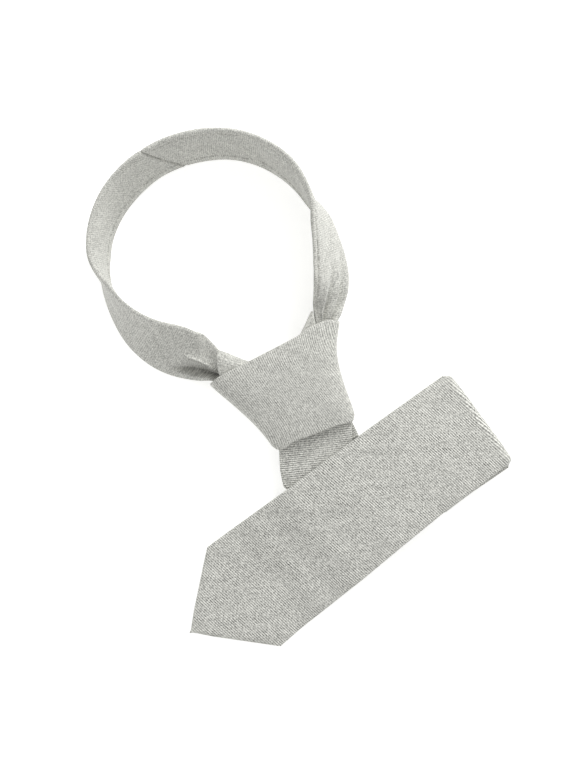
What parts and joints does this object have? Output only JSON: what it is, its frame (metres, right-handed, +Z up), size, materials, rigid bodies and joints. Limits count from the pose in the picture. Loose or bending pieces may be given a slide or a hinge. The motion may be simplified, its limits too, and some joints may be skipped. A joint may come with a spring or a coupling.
{
  "type": "skinny necktie, tied",
  "caption": "Plain light grey twill skinny necktie, already tied, lying with its neck loop open and its pointed blade folded back.",
  "frame": {"origin": "under the middle of the whole lying tie, on the surface it lies on", "axes": "+Z up from the surface, +Y from the blade's tip towards the back of the neck loop, +X towards the side where the blade folds back"},
  "size_m": [0.207, 0.251, 0.0298],
  "materials": {
    "tie_cloth": "matte bias-cut wool twill, light heather grey"
  },
  "bodies": {
    "root": {"neck_band_left": "tie_cloth", "neck_band_right": "tie_cloth", "knot_inner_wrap": "tie_cloth", "knot_front_wrap": "tie_cloth", "front_blade": "tie_cloth", "tail_blade": "tie_cloth"}
  },
  "joints": []
}
